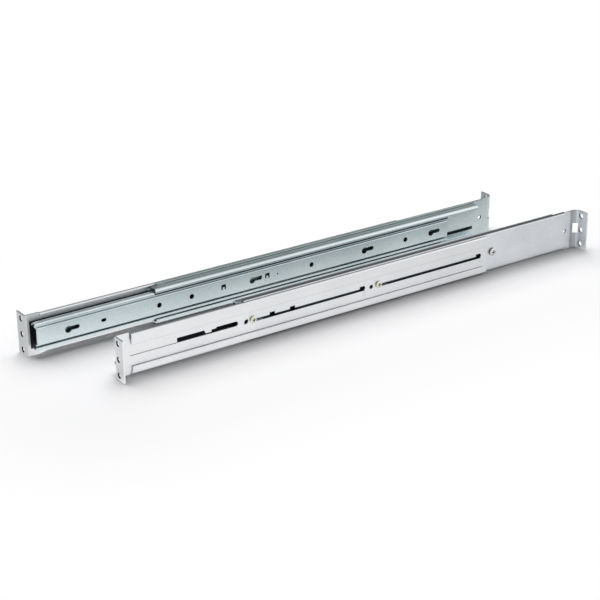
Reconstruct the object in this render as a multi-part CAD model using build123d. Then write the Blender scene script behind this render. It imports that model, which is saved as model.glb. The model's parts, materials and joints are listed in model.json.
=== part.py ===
from build123d import *
import os

# Pair of ball-bearing slide rails for a 1U server in a 19-inch rack.
# Each rail is drawn once as the left-hand one, with x running back from its front
# flange, n outwards from the bracket's web, and z up. The right-hand rail is its
# mirror image. Both stand upright, the right-hand one set back a little.

# Rack standard and overall layout
rail_length = 566.0
rail_height = 42.0
hole_pitch = 15.875
hole_diameter = 5.6
hole_from_web = 6.0
flange_width = 14.5
pair_spacing = 91.0
pair_stagger = 45.5
centre_z = 20.7
slide_z = 21.8

# Sheet thicknesses and running gaps
bracket_sheet = 1.5
slide_sheet = 1.2
cage_sheet = 0.5
sheet_gap = 0.1
lip_gap = 0.4

# Front bracket
front_length = 436.0
end_length = 15.2
relief_width = 1.2
relief_upper = 6.6
relief_lower = 7.2
front_inset = 1.1
hem_gap = 0.9
hem_bend = 1.1
front_upper_return = 11.0
front_lower_return = 7.0
bracket_bend = 0.9
corner_radius = 3.0
groove_start = 15.0
groove_z = 18.3
groove_width = 0.6
groove_depth = 0.5
window_start = 65.0
window_end = 132.0
window_low = 18.4
window_high = 23.3
tab_start = 94.5
tab_width = 8.0
tab_drop = 3.4
step_width = 5.5
step_drop = 1.2
peg_hole_x = 140.4
peg_hole_diameter = 6.2
screw_x = 148.8
screw_pitch = 149.2
slot_start_gap = 0.3
slot_length = 135.0
slot_width = 5.4
small_hole_x = 289.0
small_hole_diameter = 4.4
small_hole_z = 19.9

# Rear bracket
rear_start = 132.0
rear_inset = 0.35
rear_lip_depth = 3.4
rear_bend = 6.0
rear_end_length = 16.0
nose_length = 8.0
nose_edge = 5.5
adjust_travel = 118.0
guide_low = 12.0
guide_width = 6.8
guide_past_slot = 2.5
guide_gap = 0.2
guide_head_length = 8.0
guide_head_rise = 3.4
guide_notch_width = 6.0
guide_notch_first = 20.2
guide_notch_second = 43.6
rear_window_low = 16.0
rear_window_high = 27.5
rear_window_back = 6.5
rear_window_out = 2.2
rear_hole_back = 18.0
rear_hole_diameter = 4.4
support_gap = 11.0
latch_hole_shift = 2.2
latch_hole_drop = 1.8
latch_hole_diameter = 5.0

# Screws, nuts and rivets
clamp_shank = 4.0
clamp_head = 6.8
clamp_head_height = 2.2
nut_across = 7.4
nut_height = 1.7
nut_collar = 5.4
thread_gap = 0.05
seat_gap = 0.1
support_shank = 4.0
support_head = 8.0
support_head_height = 2.8
recess_width = 1.0
recess_depth = 1.1
rivet_head = 5.0
rivet_neck = 3.6
rivet_shoulder = 5.0
rivet_tail = 5.4
rivet_tail_height = 0.8

# Outer member of the slide
outer_start = 134.0
outer_length = 403.0
outer_height = 36.4
outer_depth = 10.3
outer_lip = 4.4
outer_lip_bend = 3.2
outer_web_bend = 1.4
nut_slot_gap = 0.55
stop_slot_length = 38.0
stop_slot_end_gap = 4.5
stop_slot_width = 2.2
stop_slot_drop = 9.7

# Middle member of the slide
middle_start = 5.0
middle_length = 491.0
middle_drop = 1.1
middle_lip = 3.8
middle_lip_bend = 1.8
middle_web_bend = 1.5
front_corner = 3.0
middle_web_setback = 8.0
middle_shoulder = 3.0

# Inner member, which the chassis hangs on
inner_setback = 2.0
inner_depth = 3.7
plateau_height = 18.4
inner_bend = 0.75
keyhole_x = (39.7, 245.9, 385.2, 473.7)
keyhole_head = 7.0
keyhole_neck = 4.2
keyhole_rise = 0.7
keyhole_length = 9.8
round_hole_x = (138.3, 175.0, 318.0, 439.1)
round_hole_diameter = 5.2
oval_hole_x = 77.3
oval_width = 3.4
oval_length = 5.6
square_hole_x = (211.8, 263.7)
square_size = 5.4
square_rise = 1.0
square_tab_width = 2.2
square_tab_rise = 2.6
tiny_hole_x = 276.1
tiny_hole_diameter = 1.6

# Ball races
ball_diameter = 2.5
ball_gap = 0.05
ball_count = 3
outer_cage_start = 274.0
outer_cage_length = 80.0
inner_cage_start = 230.0
inner_cage_length = 120.0
cage_width = 4.6
cage_end = 8.0
pocket_gap = 0.1

# Levels that follow from the sizes above
web_in = -bracket_sheet
rear_out = web_in - sheet_gap
rear_in = rear_out - bracket_sheet
outer_out = rear_in - sheet_gap
outer_in = outer_out - slide_sheet
outer_face = outer_out - outer_depth
middle_out = outer_in - middle_drop
middle_in = middle_out - slide_sheet
middle_face = outer_face + slide_sheet + lip_gap
inner_face = middle_face + lip_gap
race_gap = ball_diameter + 2 * ball_gap
mid_z = rail_height / 2
guide_z = guide_low + guide_width / 2
rivet_z = guide_low + guide_gap + rivet_shoulder / 2
outer_top = slide_z + outer_height / 2
middle_top = outer_top - slide_sheet - race_gap
inner_top = middle_top - slide_sheet - race_gap
outer_ball_z = middle_top + race_gap / 2
inner_ball_z = inner_top + race_gap / 2
race_out = inner_face + inner_depth
outer_ball_n = (outer_in + outer_face + slide_sheet) / 2
inner_ball_n = race_out - slide_sheet / 2
slot_start = screw_x - clamp_shank / 2 - slot_start_gap
slot_end = slot_start + slot_length
guide_end = slot_end + guide_past_slot
rivet_x = guide_end - guide_width / 2
guide_start = rivet_x - adjust_travel - guide_width / 2
rear_screw_x = (screw_x, screw_x + screw_pitch)
rivet_at = (rivet_x, rivet_x + screw_pitch)
support_x = front_length + support_gap
inner_start = middle_start + inner_setback
inner_length = middle_length - inner_setback


def bent_sheet(path, bend, sheet, start, length):
    """Sheet of one thickness, bent along the middle line of its section."""
    line = FilletPolyline(*path, radius=bend)
    face = trace(line, sheet)
    return extrude(Plane.YZ.offset(start) * face, length)


def block(x0, x1, n0, n1, z0, z1):
    """Plain block between two corners."""
    box = Box(abs(x1 - x0), abs(n1 - n0), abs(z1 - z0))
    return Pos((x0 + x1) / 2, (n0 + n1) / 2, (z0 + z1) / 2) * box


def pin(x, z, diameter, n0, n1):
    """Round bar along n."""
    bar = Rot(90, 0, 0) * Cylinder(diameter / 2, abs(n1 - n0))
    return Pos(x, (n0 + n1) / 2, z) * bar


def slot_cut(x0, x1, z, width, n0, n1):
    """Round-ended slot along x, as the solid to cut away."""
    face = Pos((x0 + x1) / 2, z) * SlotOverall(x1 - x0, width)
    return extrude(Plane.XZ.offset(-n1) * face, abs(n1 - n0))


def corner_cut(x, z, radius, dx, dz, n0, n1):
    """What rounding off one corner of a sheet takes away."""
    square = block(x, x + dx * radius, n0, n1, z, z + dz * radius)
    return square - pin(x + dx * radius, z + dz * radius, 2 * radius, n0, n1)


def flange_holes(face_x, depth):
    """Three rack holes through a flange, at the standard pitch."""
    cuts = []
    for step in (-1, 0, 1):
        bar = Rot(0, 90, 0) * Cylinder(hole_diameter / 2, depth)
        cuts.append(Pos(face_x, hole_from_web, mid_z + step * hole_pitch) * bar)
    return cuts


def mirrored(z):
    """Level on the other side of the slide's middle."""
    return 2 * slide_z - z


def angle(bend, corner_x, toward, reach):
    """Web end with its flange bent outwards, seen from above, at full rail height."""
    half = bracket_sheet / 2
    corner = (corner_x + toward * half, angle_mid(toward))
    web_end = (corner_x + toward * reach, angle_mid(toward))
    flange_end = (corner_x + toward * half, flange_width)
    line = FilletPolyline(flange_end, corner, web_end, radius=bend + half)
    return extrude(trace(line, bracket_sheet), rail_height)


def angle_mid(toward):
    """Middle of the web sheet: the rear bracket runs inside the front one."""
    return (0 if toward > 0 else rear_out) - bracket_sheet / 2


def front_bracket():
    half = bracket_sheet / 2
    low = front_inset + half
    high = rail_height - front_inset - half
    out = hem_gap + half
    path = [
        (out, front_inset + front_lower_return),
        (out, low),
        (web_in + half, low),
        (web_in + half, high),
        (out, high),
        (out, rail_height - front_inset - front_upper_return),
    ]
    body = bent_sheet(path, hem_bend, bracket_sheet, end_length, front_length - end_length)
    body += angle(bracket_bend, 0, 1, end_length)
    n0 = web_in - 1
    n1 = flange_width + 1
    relief = end_length + relief_width
    body -= block(end_length, relief, n0, n1, rail_height - relief_upper, rail_height + 1)
    body -= block(end_length, relief, n0, n1, -1, relief_lower)
    body -= block(end_length, relief, 0, n1, 0, rail_height)
    body -= corner_cut(end_length, 0, corner_radius, -1, 1, n0, out)
    hem_top = front_inset + front_lower_return
    body -= corner_cut(front_length, hem_top, corner_radius, -1, -1, hem_gap / 2, n1)
    body -= corner_cut(relief, hem_top, corner_radius / 2, 1, -1, hem_gap / 2, n1)
    body -= block(groove_start, window_start, -groove_depth, 1, groove_z, groove_z + groove_width)
    body -= window_cut(n0, hem_gap / 2)
    body -= pin(peg_hole_x, centre_z, peg_hole_diameter, n0, half)
    body -= pin(small_hole_x, small_hole_z, small_hole_diameter, n0, half)
    for k in (0, 1):
        shift = k * screw_pitch
        body -= slot_cut(slot_start + shift, slot_end + shift, centre_z, slot_width, n0, half)
        body -= Pos(rivet_at[k], 0, rivet_z) * rivet_body()
    for cut in flange_holes(half, 3 * bracket_sheet):
        body -= cut
    return body


def window_cut(n0, n1):
    """Window with a square front end, a round rear end and a hanging tab."""
    height = window_high - window_low
    round_x = window_end - height / 2
    cut = block(window_start, round_x, n0, n1, window_low, window_high)
    cut += pin(round_x, (window_low + window_high) / 2, height, n0, n1)
    tab_end = tab_start + tab_width
    tab = Polyline(
        (tab_start, window_high + 1),
        (tab_start, window_high),
        (tab_start + tab_drop / 2, window_high - tab_drop),
        (tab_end, window_high - tab_drop),
        (tab_end, window_high - step_drop),
        (tab_end + step_width, window_high - step_drop),
        (tab_end + step_width, window_high + 1),
        close=True,
    )
    keep = extrude(Plane.XZ.offset(-n1) * make_face(tab), abs(n1 - n0))
    return cut - keep


def guide_cut(shift, n0, n1):
    """Adjusting slot of the rear bracket, with its raised end and two notches."""
    high = guide_z + guide_width / 2
    cut = slot_cut(guide_start + shift, guide_end + shift, guide_z, guide_width, n0, n1)
    head_end = guide_end + shift
    head_top = high + guide_head_rise
    head = block(head_end - guide_head_length, head_end, n0, n1, guide_z, head_top)
    head -= corner_cut(head_end, head_top, guide_head_rise, -1, -1, n0, n1)
    cut += head
    if shift == 0:
        for first in (guide_notch_first, guide_notch_second):
            x0 = screw_x + first
            cut += block(x0, x0 + guide_notch_width, n0, n1, guide_z, head_top)
    return cut


def rear_bracket():
    half = bracket_sheet / 2
    low = rear_inset + half
    high = rail_height - rear_inset - half
    web = rear_out - half
    lip = rear_out - rear_lip_depth
    path = [(lip, low), (web, low), (web, high), (lip, high)]
    web_end = rail_length - rear_end_length
    body = bent_sheet(path, bracket_bend, bracket_sheet, rear_start, web_end - rear_start)
    body += angle(rear_bend, rail_length, -1, rear_end_length)
    n0 = lip - 1
    relief = web_end - relief_width
    body -= block(relief, web_end, n0, 1, rail_height - relief_upper / 3, rail_height + 1)
    body -= block(relief, web_end, n0, 1, -1, relief_lower / 3)
    nose = rear_start + nose_length
    body -= block(rear_start, nose, n0, 1, rail_height - nose_edge, rail_height)
    body -= block(rear_start, nose, n0, 1, 0, nose_edge)
    for shift in (0, screw_pitch):
        body -= guide_cut(shift, n0, 1)
    body -= pin(rail_length - rear_hole_back, centre_z, rear_hole_diameter, n0, 1)
    body -= pin(small_hole_x, small_hole_z, small_hole_diameter, n0, 1)
    latch_z = centre_z - latch_hole_drop
    body -= pin(peg_hole_x + latch_hole_shift, latch_z, latch_hole_diameter, n0, 1)
    body -= block(
        rail_length - rear_window_back,
        rail_length + 1,
        n0,
        rear_window_out,
        rear_window_low,
        rear_window_high,
    )
    for x in rear_screw_x:
        body -= pin(x, centre_z, nut_collar + 2 * thread_gap, n0, 1)
    body -= pin(support_x, centre_z, support_shank + 2 * thread_gap, n0, 1)
    inside = 2 * bracket_sheet - rail_length
    tip = corner_cut(flange_width, 0, corner_radius, -1, 1, -rail_length - 1, inside)
    body -= Rot(0, 0, 90) * tip
    for cut in flange_holes(rail_length - half, 3 * bracket_sheet):
        body -= cut
    return body


def pan_screw(x, z, shank, head, head_height, tip_n):
    """Pan-head screw with a cross recess, its thread left plain."""
    seat = seat_gap
    body = pin(x, z, head, seat, seat + head_height)
    rim = body.edges().filter_by(GeomType.CIRCLE).sort_by(Axis.Y)[-1]
    body = chamfer(rim, head_height * 0.35)
    body += pin(x, z, shank, tip_n, seat)
    top = seat + head_height
    floor = top - recess_depth
    arm = head * 0.3
    body -= block(x - arm, x + arm, floor, top + 1, z - recess_width / 2, z + recess_width / 2)
    body -= block(x - recess_width / 2, x + recess_width / 2, floor, top + 1, z - arm, z + arm)
    return body


def clamp_nut(x):
    """Clinch nut: a hexagon behind the rear bracket with a collar set in its hole."""
    bottom = rear_in - nut_height
    hexagon = RegularPolygon(nut_across / 2, 6, major_radius=False)
    body = extrude(Plane.XZ.offset(-rear_in) * (Pos(x, centre_z) * hexagon), nut_height)
    body += pin(x, centre_z, nut_collar, rear_in, rear_out)
    return body - pin(x, centre_z, clamp_shank + 2 * thread_gap, bottom - 1, 1)


def rivet_body():
    """Flush shouldered rivet on its axis: head, guide shoulder, neck and tail."""
    tail = outer_in - rivet_tail_height
    head_r = rivet_head / 2
    neck_r = rivet_neck / 2
    shoulder_r = rivet_shoulder / 2
    profile = Polyline(
        (0, 0),
        (head_r, 0),
        (neck_r, web_in + 0.5),
        (neck_r, web_in),
        (shoulder_r, web_in),
        (shoulder_r, outer_out),
        (neck_r, outer_out),
        (neck_r, outer_in),
        (rivet_tail / 2, outer_in),
        (rivet_tail / 2, tail),
        (0, tail),
        close=True,
    )
    return revolve(make_face(profile), Axis.Y)


def outer_member():
    half = slide_sheet / 2
    high = outer_top - half
    low = mirrored(high)
    web = outer_out - half
    lip = outer_face + half
    path = [
        (lip, low + outer_lip - half),
        (lip, low),
        (web, low),
        (web, high),
        (lip, high),
        (lip, high - outer_lip + half),
    ]
    bends = (outer_lip_bend, outer_web_bend, outer_web_bend, outer_lip_bend)
    body = bent_sheet(path, bends, slide_sheet, outer_start, outer_length)
    n0 = outer_in - 1
    n1 = outer_out + 1
    side = nut_across / 2 + nut_slot_gap
    for x in rear_screw_x:
        body -= slot_cut(x - side, x + adjust_travel + side, centre_z, 2 * side, n0, n1)
    for x in rivet_at:
        body -= pin(x, rivet_z, rivet_neck, n0, n1)
    stop_end = outer_start + outer_length - stop_slot_end_gap
    stop_z = slide_z - stop_slot_drop
    body -= slot_cut(stop_end - stop_slot_length, stop_end, stop_z, stop_slot_width, n0, n1)
    return body


def middle_member():
    half = slide_sheet / 2
    high = middle_top - half
    low = mirrored(high)
    web = middle_out - half
    lip = middle_face + half
    path = [
        (lip, low + middle_lip - half),
        (lip, low),
        (web, low),
        (web, high),
        (lip, high),
        (lip, high - middle_lip + half),
    ]
    bends = (middle_lip_bend, middle_web_bend, middle_web_bend, middle_lip_bend)
    body = bent_sheet(path, bends, slide_sheet, middle_start, middle_length)
    n0 = middle_face - 1
    n1 = middle_out + 1
    body -= corner_cut(middle_start, middle_top, front_corner, 1, -1, n0, n1)
    body -= corner_cut(middle_start, mirrored(middle_top), front_corner, 1, 1, n0, n1)
    web_top = middle_top - middle_shoulder
    web_start = middle_start + middle_web_setback
    body -= block(middle_start - 1, web_start, middle_in - 1, n1, mirrored(web_top), web_top)
    return body


def keyhole_cut(x, n0, n1):
    """Big end for the stud's head and, a little above its middle, the neck."""
    cut = pin(x, slide_z, keyhole_head, n0, n1)
    cut += slot_cut(x, x + keyhole_length + keyhole_neck / 2, slide_z + keyhole_rise, keyhole_neck, n0, n1)
    return cut


def inner_member():
    half = slide_sheet / 2
    wall_z = slide_z + plateau_height / 2 - half
    edge = inner_top
    face = inner_face + half
    race = race_out - half
    path = [
        (race, mirrored(edge)),
        (race, mirrored(wall_z)),
        (face, mirrored(wall_z)),
        (face, wall_z),
        (race, wall_z),
        (race, edge),
    ]
    body = bent_sheet(path, inner_bend, slide_sheet, inner_start, inner_length)
    n0 = inner_face - 1
    n1 = inner_face + slide_sheet + 0.6
    for x in keyhole_x:
        body -= keyhole_cut(x, n0, n1)
    for x in round_hole_x:
        body -= pin(x, slide_z, round_hole_diameter, n0, n1)
    oval = oval_length / 2
    body -= slot_cut(oval_hole_x - oval, oval_hole_x + oval, slide_z, oval_width, n0, n1)
    body -= pin(tiny_hole_x, slide_z, tiny_hole_diameter, n0, n1)
    side = square_size / 2
    square_z = slide_z + square_rise
    for x in square_hole_x:
        cut = block(x - side, x + side, n0, n1, square_z - side, square_z + side)
        tab = square_tab_width / 2
        cut -= block(x - tab, x + tab, n0, n1, square_z - side, square_z - side + square_tab_rise)
        body -= cut
    for dz in (-1, 1):
        corner = slide_z + dz * plateau_height / 2
        body -= corner_cut(inner_start, corner, front_corner, 1, -dz, n0, inner_face + slide_sheet)
    return body


def ball_spots(start, length):
    """Where the balls sit along their cage."""
    pitch = (length - 2 * cage_end) / (ball_count - 1)
    return [start + cage_end + k * pitch for k in range(ball_count)]


def balls(start, length, n, height):
    group = []
    for x in ball_spots(start, length):
        for z in (height, mirrored(height)):
            group.append(Pos(x, n, z) * Sphere(ball_diameter / 2))
    return group


def pockets(body, start, length, n, height):
    for x in ball_spots(start, length):
        for z in (height, mirrored(height)):
            body -= Pos(x, n, z) * Cylinder(ball_diameter / 2 + pocket_gap, 4 * cage_sheet)
    return body


def outer_cage():
    """Two ball strips, one in each race."""
    strips = []
    for z in (outer_ball_z, mirrored(outer_ball_z)):
        n0 = outer_ball_n - cage_width / 2
        strip = block(
            outer_cage_start,
            outer_cage_start + outer_cage_length,
            n0,
            n0 + cage_width,
            z - cage_sheet / 2,
            z + cage_sheet / 2,
        )
        for x in ball_spots(outer_cage_start, outer_cage_length):
            strip -= Pos(x, outer_ball_n, z) * Cylinder(ball_diameter / 2 + pocket_gap, 4 * cage_sheet)
        strips.append(strip)
    return strips


def inner_cage():
    """Ball cage bent round the inner member, between its race and the middle member's."""
    web = (middle_in + race_out) / 2
    edge = inner_ball_n - cage_width / 2 + 0.7
    path = [
        (edge, mirrored(inner_ball_z)),
        (web, mirrored(inner_ball_z)),
        (web, inner_ball_z),
        (edge, inner_ball_z),
    ]
    body = bent_sheet(path, 0.4, cage_sheet, inner_cage_start, inner_cage_length)
    return pockets(body, inner_cage_start, inner_cage_length, inner_ball_n, inner_ball_z)


def solids_of(shape):
    """Flat list of the solids in a shape or a list of shapes."""
    if isinstance(shape, (list, tuple)):
        return [s for item in shape for s in solids_of(item)]
    return list(shape.solids())


tip_n = rear_in - nut_height
support_reach = rear_in - rear_out - thread_gap
support_size = (support_shank, support_head, support_head_height, support_reach)
support_screw = pan_screw(support_x, centre_z, *support_size)
nodes = {
    "front_bracket": front_bracket(),
    "rear_bracket": rear_bracket(),
    "clamp_screws": [
        pan_screw(x, centre_z, clamp_shank, clamp_head, clamp_head_height, tip_n) for x in rear_screw_x
    ],
    "clamp_nuts": [clamp_nut(x) for x in rear_screw_x],
    "support_screw": Pos(0, rear_out, 0) * support_screw,
    "guide_rivets": [Pos(x, 0, rivet_z) * rivet_body() for x in rivet_at],
    "outer_member": outer_member(),
    "outer_cage": outer_cage(),
    "outer_balls": balls(outer_cage_start, outer_cage_length, outer_ball_n, outer_ball_z),
    "middle_member": middle_member(),
    "inner_cage": inner_cage(),
    "inner_balls": balls(inner_cage_start, inner_cage_length, inner_ball_n, inner_ball_z),
    "inner_member": inner_member(),
}

os.makedirs("parts", exist_ok=True)
for name, shape in nodes.items():
    drawn = solids_of(shape)
    for side, facing, shift in (("left", 1, -pair_stagger / 2), ("right", -1, pair_stagger / 2)):
        place = Pos(shift - rail_length / 2, facing * pair_spacing / 2, 0)
        turned = [s if facing > 0 else mirror(s, Plane.XZ) for s in drawn]
        placed = [place * s for s in turned]
        whole = placed[0] if len(placed) == 1 else Compound(children=placed)
        export_step(whole, f"parts/{side}_{name}.step")
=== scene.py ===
# %% [markdown]
# Sliding server rail pair.
# Two slide rails carry a 1U chassis in a rack. Each one is a nest of folded and rolled
# sheet: a front and a rear bracket with rack flanges, and a telescopic ball-bearing
# slide. The solids come from the CAD model, already at their real size and place, so
# this lesson is about metal finishes, the light that bare metal mirrors, and the camera.
# Everything is in metres, x runs back along the rails, z is up.

# %% Load the solids
import json
import math

import bpy
from mathutils import Euler, Matrix, Vector


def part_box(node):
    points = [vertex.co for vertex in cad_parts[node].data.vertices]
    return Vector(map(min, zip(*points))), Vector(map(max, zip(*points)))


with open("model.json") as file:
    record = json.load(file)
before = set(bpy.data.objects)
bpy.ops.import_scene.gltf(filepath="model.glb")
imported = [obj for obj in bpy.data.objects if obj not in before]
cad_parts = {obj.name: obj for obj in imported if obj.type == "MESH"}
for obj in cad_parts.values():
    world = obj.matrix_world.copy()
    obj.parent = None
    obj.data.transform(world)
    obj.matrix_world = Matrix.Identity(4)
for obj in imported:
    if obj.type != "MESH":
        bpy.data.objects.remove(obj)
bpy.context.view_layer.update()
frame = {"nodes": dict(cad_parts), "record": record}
nodes = frame["nodes"]
bpy.ops.object.select_all(action="DESELECT")


# %% [markdown]
# Shader maths reads best as plain arithmetic. The class below wraps one output socket of
# a node tree, and each operator adds the Math node that does it. The operators also work
# with the number on the left, so 1 - mask is allowed.

# %% Arithmetic on sockets
class Value:
    def __init__(self, tree, socket):
        self.tree = tree
        self.socket = socket

    def math(self, operation, other=0.0, swap=False):
        pair = (other, self) if swap else (self, other)
        return self.tree.node("ShaderNodeMath", {"operation": operation}, {0: pair[0], 1: pair[1]})

    def __add__(self, other):
        return self.math("ADD", other)

    def __radd__(self, other):
        return self.math("ADD", other, True)

    def __sub__(self, other):
        return self.math("SUBTRACT", other)

    def __rsub__(self, other):
        return self.math("SUBTRACT", other, True)

    def __mul__(self, other):
        return self.math("MULTIPLY", other)

    def __rmul__(self, other):
        return self.math("MULTIPLY", other, True)

    def out(self, name):
        return Value(self.tree, self.socket.node.outputs[name])


print("operators on a socket:", [name for name in vars(Value) if name.startswith("__r")])


# %% [markdown]
# A finish is one material. Any node that isn't arithmetic comes from `node`, which takes
# its type, its settings and the values or links of its sockets. The other methods are
# the few patterns that all the metals here need: noise, a blend of two colours, a soft
# step and a soft band. They read Object coordinates, which stay on the piece when it
# slides.

# %% A finish and its patterns
class Finish:
    def __init__(self, name):
        self.material = bpy.data.materials.new(name)
        self.material.use_nodes = True
        self.nodes = self.material.node_tree.nodes
        self.links = self.material.node_tree.links
        self.shader = self.nodes["Principled BSDF"]
        self.point = self.node("ShaderNodeTexCoord").out("Object")

    def node(self, kind, settings=None, inputs=None):
        made = self.nodes.new(kind)
        for key, value in (settings or {}).items():
            setattr(made, key, value)
        for key, value in (inputs or {}).items():
            self.plug(made.inputs[key], value)
        return Value(self, made.outputs[0])

    def plug(self, socket, value):
        if isinstance(value, Value):
            self.links.new(value.socket, socket)
        else:
            socket.default_value = value

    def set(self, **inputs):
        for key, value in inputs.items():
            self.plug(self.shader.inputs[key.replace("_", " ")], value)

    def place(self):
        """Object coordinates as three separate values."""
        return self.node("ShaderNodeSeparateXYZ", {}, {0: self.point})

    def noise(self, fineness, scale, detail=4.0, roughness=0.55):
        """Noise that is finer along an axis with a larger fineness."""
        scaled = self.node("ShaderNodeMapping", {}, {"Vector": self.point, "Scale": fineness})
        inputs = {"Vector": scaled, "Scale": scale, "Detail": detail, "Roughness": roughness}
        return self.node("ShaderNodeTexNoise", {}, inputs)

    def blend(self, factor, first, second):
        """Colour between two colours."""
        mixed = self.node("ShaderNodeMix", {"data_type": "RGBA"}, {0: factor, 6: first, 7: second})
        return Value(self, mixed.socket.node.outputs[2])

    def ramp(self, factor, low, high):
        """0 below low, 1 above high, smooth between."""
        inputs = {"Value": factor, "From Min": low, "From Max": high}
        return self.node("ShaderNodeMapRange", {"interpolation_type": "SMOOTHSTEP"}, inputs)

    def band(self, value, low, high, edge):
        """1 between low and high, 0 outside, soft over the edge."""
        return self.ramp(value, low - edge, low) * (1 - self.ramp(value, high, high + edge))

    def bump(self, height, strength, distance):
        inputs = {"Height": height, "Strength": strength, "Distance": distance}
        return self.node("ShaderNodeBump", {}, inputs)


print("patterns:", [name for name in vars(Finish) if not name.startswith("_")])


# %% [markdown]
# Where two sheets slide on each other almost no light comes in, so a slot shows the
# sheet behind it nearly black. That shade is painted into the colour, and so are the thin
# shadow lines along a folded edge and the shade on the walls of the small holes. Each mask
# below is 1 at such a place. The rails mirror each other about y = 0, so the side of a sheet
# is known by its distance from there, and a line by where it runs in x and z.

# %% Masks for painted shade
soft = 0.0003


def painted_shade_side(finish, near, far, box=None, strength=1.0):
    """Painted shade on one side of a sheet, or only on the part of it between two x and two z."""
    place = finish.place()
    mask = finish.band(place.out("Y").math("ABSOLUTE"), near, far, soft)
    if box:
        start, end, low, high = box
        mask = mask * finish.band(place.out("X"), start, end, 0.0005)
        mask = mask * finish.band(place.out("Z"), low, high, 0.0005)
    return mask * strength


def painted_shade_line(finish, start, end, low, high, strength=1.0):
    """A stripe of painted shade along x, on whatever side of the sheet."""
    place = finish.place()
    return finish.band(place.out("X"), start, end, 0.001) * finish.band(place.out("Z"), low, high, soft) * strength


def hole_walls(finish, heights, radius, side=None, along=None):
    """Painted shade on the walls of holes through a flange, at a distance from y = 0, or through a web, at an x.
    """
    place = finish.place()
    across = place.out("X") - along if side is None else place.out("Y").math("ABSOLUTE") - side
    up = (place.out("Z") - heights[0]).math("ABSOLUTE")
    for height in heights[1:]:
        up = up.math("MINIMUM", (place.out("Z") - height).math("ABSOLUTE"))
    radial = (across * across + up * up).math("SQRT")
    return 1 - finish.ramp(radial, radius + 0.0001, radius + soft)


print("each mask fades over", soft * 1000, "mm")


# %% [markdown]
# The brackets and the slide are made of zinc-plated sheet. Bright zinc is not a mirror:
# it has a soft cloudy lustre, faint lines in the direction in which the strip was rolled,
# and small scuffs. A picture of real zinc would show one sheet only, so noise is used:
# three noises of different scale give the cloud, the rolling lines and the grain. The
# lines run along x, so their noise is finer across it.

# %% Zinc-plated sheet
# Near-black painted shade, which the masks blend into the zinc's colour.
grease = (0.045, 0.05, 0.055, 1)


def zinc_sheet(name, colour, shade, roughness, cloud_scale=16.0, painted_shade_patches=(), lines=(), holes=()):
    finish = Finish(name)
    cloud = finish.noise((1, 1, 1), cloud_scale, 3.0)
    rolled = finish.noise((4, 260, 260), 3.0, 5.0, 0.6)
    grain = finish.ramp(finish.noise((1, 1, 1), 520.0, 3.0), 0.3, 0.7)
    scuff = finish.ramp(finish.noise((18, 60, 60), 5.0, 6.0, 0.7), 0.62, 0.74)
    tone = 0.45 * finish.ramp(cloud, 0.3, 0.7) + 0.25 * rolled + 0.3 * grain
    colour = finish.blend(tone, (*shade, 1), (*colour, 1))
    # Painted shade goes into the colour wherever a mask is 1.
    for mask, places in ((painted_shade_side, painted_shade_patches), (painted_shade_line, lines), (hole_walls, holes)):
        for place in places:
            colour = finish.blend(mask(finish, **place), colour, grease)
    finish.set(
        Base_Color=colour,
        Metallic=1.0,
        Roughness=roughness + 0.10 * (cloud - 0.5) + 0.05 * (rolled - 0.5) + 0.06 * scuff,
        Normal=finish.bump(rolled * 0.5 + grain * 0.5, 0.12, 0.00002),
    )
    return finish.material


def dress(node_name, material):
    """Give every slot of one CAD piece the same material."""
    for slot in nodes[node_name].material_slots:
        slot.material = material


print("greased zinc is", grease[:3])


# %% [markdown]
# Where the dark places lie is measured from the solids: the sides of the sheets from
# their boxes, and the rack holes from the record's mounts. Along the rail, places are
# given in millimetres from its front flange, as on a drawing, so both rails share them.

# %% Measure the rails
rails = {side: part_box(side + "_front_bracket")[0][0] for side in ("left", "right")}
outer_back_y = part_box("left_outer_member")[1][1]
middle_back_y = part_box("left_middle_member")[1][1]
sheet = 0.0012
# Sides of the sheets that get painted shade; the middle member's front web gets it at 0.6.
web_inside = {"near": 0.0435, "far": 0.0447}
outer_back = {"near": outer_back_y - sheet / 2, "far": outer_back_y + sheet}
rear_web_front = {"near": outer_back_y - sheet, "far": outer_back_y + sheet / 2}
middle_back = {"near": middle_back_y - sheet / 2, "far": middle_back_y + sheet}
middle_front = {"near": middle_back_y - sheet - 0.0004, "far": middle_back_y - sheet + soft, "strength": 0.6}

mounts = {mount["name"]: mount for mount in frame["record"]["mounts"]}
middle_hole = mounts["left_front_middle_hole"]
pitch = mounts["left_front_rack_holes"]["dims"]["spacing_y_mm"] / 2000
rack_holes = {
    "side": middle_hole["pos_m"][1],
    "heights": [middle_hole["pos_m"][2] + step * pitch for step in (-1, 0, 1)],
    "radius": middle_hole["dims"]["r_mm"] / 1000,
}


def line(side, start, end, low, high, strength=1.0):
    """A painted shadow line, in millimetres from the rail's front flange and from the floor."""
    x = rails[side]
    return dict(start=x + start / 1000, end=x + end / 1000, low=low / 1000, high=high / 1000, strength=strength)


def patch(side, face, start, end, low, high):
    """Part of one side of a sheet, in the same millimetres."""
    x = rails[side]
    return face | {"box": (x + start / 1000, x + end / 1000, low / 1000, high / 1000)}


print("front flanges at x =", {side: round(x, 5) for side, x in rails.items()})
print("rack holes at z =", [round(height, 4) for height in rack_holes["heights"]])


# %% [markdown]
# The front bracket is the palest sheet. Beside the slide's front end its web gets the
# painted shade of the hollow there, and a painted shadow line runs above the slide.
# Painted shadow lines also mark the lower edges of the two adjusting slots and the edge of
# the folded top, and painted shade deepens the pressed line in front of the window, whose
# groove is in the solids.

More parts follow.
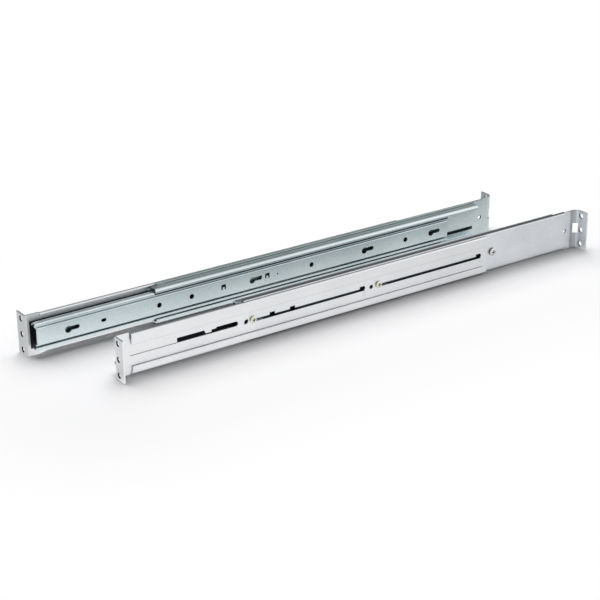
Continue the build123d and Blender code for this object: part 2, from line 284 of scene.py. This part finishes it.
# %% Front brackets
for side in rails:
    # Painted shade and painted shadow lines go into this zinc's colour, and painted shade onto the rack holes'
    # walls.
    zinc = zinc_sheet(
        side + " bracket zinc",
        (0.94, 0.95, 0.965),
        (0.80, 0.815, 0.835),
        0.42,
        painted_shade_patches=[patch(side, web_inside, 5, 14, 7.5, 34.5), patch(side, web_inside, 5, 134, 30.0, 34.7)],
        lines=[
            line(side, 147.5, 280.5, 18.1, 18.4),
            line(side, 296.7, 429.7, 17.9, 18.4),
            line(side, 16, 64, 18.3, 18.9, 0.55),
            line(side, 18, 434, 29.5, 30.0, 0.3),
        ],
        holes=[rack_holes],
    )
    dress(side + "_front_bracket", zinc)
    print("dressed", side + "_front_bracket", "with", zinc.name)


# %% [markdown]
# The slide's three members are a cooler, greener zinc, brightened in a different bath.
# The outer member gets painted shade on its back, which the slots show, and a band of
# painted shade around its stop slot widens the slot's dark. The middle member gets painted
# shade on its back behind the window, a painted shadow line along its upper lip and, more
# thinly, painted shade on the web that the keyholes look onto. The inner member gets none.

# %% Slide members
slide_colours = (0.85, 0.93, 0.95), (0.61, 0.70, 0.72)
inner_zinc = zinc_sheet("inner member zinc", (0.86, 0.955, 0.975), (0.62, 0.72, 0.74), 0.36, 12.0)
for side in rails:
    # Painted shade on the outer member's back and around its stop slot.
    outer_zinc = zinc_sheet(
        side + " outer slide zinc",
        *slide_colours,
        0.34,
        12.0,
        painted_shade_patches=[outer_back],
        lines=[line(side, 494.5, 536.5, 10.4, 13.8)],
    )
    # Painted shade behind the window and on the keyhole web, and a painted shadow line along the upper lip.
    middle_zinc = zinc_sheet(
        side + " middle slide zinc",
        *slide_colours,
        0.34,
        12.0,
        painted_shade_patches=[patch(side, middle_back, 60, 205, 16.5, 25.5), middle_front],
        lines=[line(side, 134, 550, 33.5, 35.5)],
    )
    dress(side + "_outer_member", outer_zinc)
    dress(side + "_middle_member", middle_zinc)
    dress(side + "_inner_member", inner_zinc)
    print("dressed the three members of the", side, "slide")


# %% [markdown]
# The two rear brackets come from different strips: the left one is greenish, the right
# one bluish and brighter, and the right one gets painted shade in its large bend. Painted
# shade behind the stop slot and along the guide slot shows through the slots, a painted
# shadow line runs along the top edge, and the hole walls get painted shade too.

# %% Rear brackets
rear_looks = {
    "left": {"colours": ((0.84, 0.93, 0.93), (0.61, 0.70, 0.71)), "bend": 0.0, "top": 39.9, "end": 537},
    "right": {"colours": ((0.965, 0.99, 1.0), (0.77, 0.81, 0.865)), "bend": 0.4, "top": 41.1, "end": 548},
}
for side, look in rear_looks.items():
    web_hole = {"along": rails[side] + 0.548, "heights": [middle_hole["pos_m"][2]], "radius": 0.0022}
    # Painted shade: behind the stop slot, along the guide slot, along the top edge, in the right bracket's bend
    # and in the holes.
    zinc = zinc_sheet(
        side + " rear bracket zinc",
        *look["colours"],
        0.40,
        24.0,
        painted_shade_patches=[patch(side, rear_web_front, 490, 534.5, 9.5, 14.5)],
        lines=[
            line(side, 150, 433.5, 18.5, 19.7),
            line(side, 132, look["end"], look["top"], look["top"] + 1, 0.7),
            line(side, 556.5, 562.5, 0, 42, look["bend"]),
        ],
        holes=[rack_holes, web_hole],
    )
    dress(side + "_rear_bracket", zinc)
    print("dressed", side + "_rear_bracket", "with", zinc.name)


# %% [markdown]
# The screws, nuts, rivets and balls are small turned or pressed pieces. Their cross
# recesses and their threads are too fine for the solids, so the material draws them: the
# recess as a spot of painted shade, with a ring of painted shade under the head. It needs to
# know how far a point lies from its screw's axis: every screw's axis runs along y, so that
# distance is measured in x and z, and the nearest screw counts.

# %% Where a point lies on its screw
def screw_place(finish, ends):
    """Distance from the nearest screw's axis, depth along it, head radius and head top."""
    place = finish.place()
    radial = None
    for side in rails:
        low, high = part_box(side + ends)
        radius = (high[2] - low[2]) / 2
        for centre in (low[0] + radius, high[0] - radius):
            across = place.out("X") - centre
            up = place.out("Z") - (low[2] + radius)
            here = (across * across + up * up).math("SQRT")
            radial = here if radial is None else radial.math("MINIMUM", here)
    return radial, place.out("Y").math("ABSOLUTE"), radius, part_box("left" + ends)[1][1]


for ends in ("_clamp_screws", "_support_screw"):
    low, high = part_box("left" + ends)
    print("left" + ends, "heads are", round((high[2] - low[2]) * 1000, 2), "mm across")


# %% [markdown]
# The clamp screws have a yellow passivation, which looks cream with a touch of green
# where it catches the light. The support screw, rivets and nuts are plain plated steel,
# and the balls are polished. One function makes them all. The thread is a sine wave
# along the axis that only feeds Bump, because it is under half a millimetre deep.

# %% Turned steel
# Near-black painted shade for the screw recesses and under the screw heads.
painted_screw_shade = (0.05, 0.05, 0.045, 1)
recess_radius, recess_depth = 0.0019, 0.0005
head_height, shank_depth, shank_radii = 0.0015, 0.0024, (0.0010, 0.0021)
thread_pitch, edge = 0.0007, 0.0001


def turned_steel(name, colour, shade, roughness, ends=None):
    finish = Finish(name)
    patina = finish.noise((1, 1, 1), 420.0, 3.0)
    colour = finish.blend(finish.ramp(patina, 0.35, 0.65), (*shade, 1), (*colour, 1))
    height, strength, depth = patina, 0.08, 0.00002
    if ends:
        radial, out, radius, top = screw_place(finish, ends)
        recess = 1 - finish.ramp(radial, recess_radius - edge, recess_radius + edge)
        recess = recess * (1 - finish.ramp(out, top - recess_depth - edge, top - recess_depth + edge))
        under_head = 1 - finish.ramp(out, top - head_height - 2 * edge, top - head_height + 2 * edge)
        corner = finish.ramp(radial, radius - 4 * edge, radius - 2 * edge) * under_head
        # Painted shade in the recess and in a ring under the head.
        colour = finish.blend(recess.math("MAXIMUM", corner), colour, painted_screw_shade)
        below_head = 1 - finish.ramp(out, top - shank_depth - edge, top - shank_depth + edge)
        shank = finish.band(radial, *shank_radii, edge) * below_head
        thread = (out * (2 * math.pi / thread_pitch)).math("SINE") * shank
        height, strength, depth = thread * 5 + patina, 0.3, 0.00005
    finish.set(
        Base_Color=colour,
        Metallic=1.0,
        Roughness=roughness + 0.12 * (patina - 0.5),
        Normal=finish.bump(height, strength, depth),
    )
    return finish.material


cage_steel = turned_steel("cage strip", (0.58, 0.59, 0.60), (0.48, 0.49, 0.50), 0.36)
ball_steel = turned_steel("polished ball", (0.82, 0.82, 0.82), (0.78, 0.78, 0.78), 0.10)
steels = {
    "_clamp_screws": turned_steel(
        "yellow passivated screw", (0.92, 0.90, 0.78), (0.80, 0.77, 0.60), 0.30, "_clamp_screws"
    ),
    "_support_screw": turned_steel("plated screw", (0.86, 0.86, 0.84), (0.70, 0.70, 0.67), 0.28, "_support_screw"),
    "_guide_rivets": turned_steel("plated rivet", (0.88, 0.89, 0.91), (0.78, 0.79, 0.81), 0.38),
    "_clamp_nuts": turned_steel("plated nut", (0.70, 0.71, 0.72), (0.60, 0.61, 0.62), 0.35),
    "_outer_cage": cage_steel,
    "_inner_cage": cage_steel,
    "_outer_balls": ball_steel,
    "_inner_balls": ball_steel,
}
for side in rails:
    for ends, material in steels.items():
        dress(side + ends, material)
worn = {slot.material.name for piece in nodes.values() for slot in piece.material_slots}
print("materials on the nodes:", len(worn))


# %% [markdown]
# The floor is plain white paper, so that it catches the soft shadow. It lies a fifth of
# a millimetre below the rails, so that none of their faces lies in it. Two places get
# darker paper: the gap under the far rail, and the contact shadow along the foot of the
# near one. Reflected light would wash both out, so the colour keeps them.

# %% Floor
bpy.ops.mesh.primitive_plane_add(size=30, location=(0, 0, -0.0002))
floor = bpy.context.object
floor.name = "floor"
paper = Finish("white paper")
floor.data.materials.append(paper.material)
ground = paper.place()
x, y = ground.out("X"), ground.out("Y")
under = paper.band(y, 0.0465, 0.0515, 0.0012) * paper.band(x, -0.283, 0.215, 0.004)
foot = (1 - paper.ramp(-0.0455 - y, 0.0, 0.03)) * (1 - paper.ramp(y, -0.044, -0.03))
contact = paper.band(x, -0.258, 0.300, 0.006) * foot * 0.42
lit_paper, shaded_paper = (0.90, 0.90, 0.91, 1), (0.30, 0.30, 0.31, 1)
paper.set(
    Base_Color=paper.blend(under.math("MAXIMUM", contact), lit_paper, shaded_paper),
    Roughness=0.9,
    Specular_IOR_Level=0.1,
)
print("floor lies", round(-floor.location.z * 1000, 2), "mm below the rails")


# %% [markdown]
# Sheet metal shows what it mirrors, and these webs mirror the floor in front of them.
# A photographer lays grey and white cards there. Each card is a brightness that depends
# on where on the floor a reflection lands: bright in front and dimmer toward the far
# end, darker still close behind the near rail, and grey behind and to the left.

# %% Cards that the metal mirrors
def mix(factor, first, second):
    """Number between two numbers."""
    return first + factor * (second - first)


behind = mix(paper.ramp(x, -0.25, 0.05), 0.62, 0.34)
between = mix(paper.ramp(y, -0.035, 0.0), behind, 1.0) * (1 - 0.25 * paper.ramp(x, -0.25, 0.35))
between = between * (1 - 0.10 * paper.band(x, -0.16, 0.10, 0.06))
card = 1 - 0.36 * paper.ramp(x, -0.25, 0.4)
card = mix(paper.ramp(y, -0.055, -0.04), card, between)
card = mix(paper.ramp(y, 0.045, 0.08), card, 0.35)
card = mix(1 - paper.ramp(x, -0.31, -0.29), card, 0.62)
print("nodes up to the cards:", len(paper.nodes))


# %% [markdown]
# The cards glow for glossy rays only, so they shade the metal and neither light the
# paper nor show on it. The camera sees a glow too, a white one that takes over with
# distance from the rails, so that the paper melts into the white background.

# %% Who sees the cards
path = paper.node("ShaderNodeLightPath")
seen = path.out("Is Camera Ray")
direct = 1 - path.out("Diffuse Depth").math("MINIMUM", 1.0)
beside = (y.math("ABSOLUTE") - 0.06).math("MAXIMUM", 0.0)
beyond = (x.math("ABSOLUTE") - 0.28).math("MAXIMUM", 0.0)
far_off = paper.ramp((beside * beside + beyond * beyond).math("SQRT"), 0.0, 0.22)
shine = seen * far_off + path.out("Is Glossy Ray") * direct * 0.9
glow_colour = paper.blend(card.math("MAXIMUM", seen), (0, 0, 0, 1), (1, 1, 1, 1))
glow = paper.node("ShaderNodeEmission", {}, {"Color": glow_colour, "Strength": 1.0})
lit = Value(paper, paper.shader.outputs[0])
whole = paper.node("ShaderNodeMixShader", {}, {0: shine, 1: lit, 2: glow})
paper.plug(paper.nodes["Material Output"].inputs["Surface"], whole)
print("nodes of the whole floor:", len(paper.nodes))


# %% [markdown]
# The room does the same from above. It is white for the camera, bright in front of the
# rails and dim behind and to the left, so that webs shine while flange faces and top
# faces turn grey, and every fold reads. What it gives to the paper is weaker than what
# the metal mirrors, because the lamps light the paper.

# %% Room
world = bpy.data.worlds.new("studio")
bpy.context.scene.world = world
world.use_nodes = True


class Room(Finish):
    """The world's nodes, in the same plain language."""

    def __init__(self, owner):
        self.nodes = owner.node_tree.nodes
        self.links = owner.node_tree.links


room = Room(world)
bright_side = (0.45, -0.85, 0.0)
direction = room.node("ShaderNodeTexCoord").out("Generated")
toward = room.node("ShaderNodeVectorMath", {"operation": "DOT_PRODUCT"}, {0: direction, 1: bright_side})
side_of = room.ramp(toward.out("Value"), -0.3, 0.85)
ray = room.node("ShaderNodeLightPath")
mirrored = ray.out("Is Glossy Ray") * (1 - ray.out("Diffuse Depth").math("MINIMUM", 1.0))
level = (0.19 + 0.88 * side_of) * (0.34 + 0.66 * mirrored)
grey = room.blend(level, (0, 0, 0, 1), (1, 1, 1, 1))
studio = room.node("ShaderNodeBackground", {}, {"Color": grey, "Strength": 1.0})
white = room.node("ShaderNodeBackground", {}, {"Color": (1, 1, 1, 1), "Strength": 1.0})
chosen = room.node("ShaderNodeMixShader", {}, {0: ray.out("Is Camera Ray"), 1: studio, 2: white})
room.plug(room.nodes["World Output"].inputs["Surface"], chosen)
print("room brightest toward", bright_side)


# %% [markdown]
# Three large soft lamps: the key stands high behind the rails, so that each rail's
# shadow falls to the front, and two weak ones on the camera's side keep the shadow from
# going black. The key is hidden from glossy rays, since it would burn out the bends.

# %% Lamps
def soft_lamp(name, place, size, watts):
    bpy.ops.object.light_add(type="AREA", location=place)
    lamp = bpy.context.object
    lamp.name = name
    lamp.data.shape = "SQUARE"
    lamp.data.size = size
    lamp.data.energy = watts
    lamp.rotation_euler = (-Vector(place)).to_track_quat("-Z", "Y").to_euler()
    print(name, "lamp:", watts, "W over", size, "m")
    return lamp


key = soft_lamp("key", (0.1, 1.0, 1.9), 2.6, 70)
key.visible_glossy = False
soft_lamp("fill", (-1.2, -1.6, 1.3), 1.6, 1)
soft_lamp("side", (1.4, -0.6, 1.0), 1.2, 1)


# %% [markdown]
# The camera was solved from the corners and holes of the flanges, whose sizes are known:
# the rack standard sets the pitch of the holes. It looks down by 23 degrees, along the
# rails, through a long lens, and is turned half a degree about its own axis.

# %% Camera
look_down, heading, tilt = 22.984, 34.431, 0.565
bpy.ops.object.camera_add(location=(-0.92545, -1.31231, 0.67852))
camera = bpy.context.object
turn = Euler((math.radians(90 - look_down), 0, math.radians(-heading))).to_matrix()
roll = Matrix.Rotation(math.radians(-tilt), 3, "Z")
camera.rotation_euler = (turn @ roll).to_euler()
camera.data.lens = 103.78
camera.data.sensor_width = 36
camera.data.clip_start = 0.01
bpy.context.scene.camera = camera
bpy.context.scene.view_settings.view_transform = "Standard"
print("camera at", [round(v, 3) for v in camera.location], "lens", round(camera.data.lens, 2), "mm")


# %% [markdown] A finish adds no size to the solids.
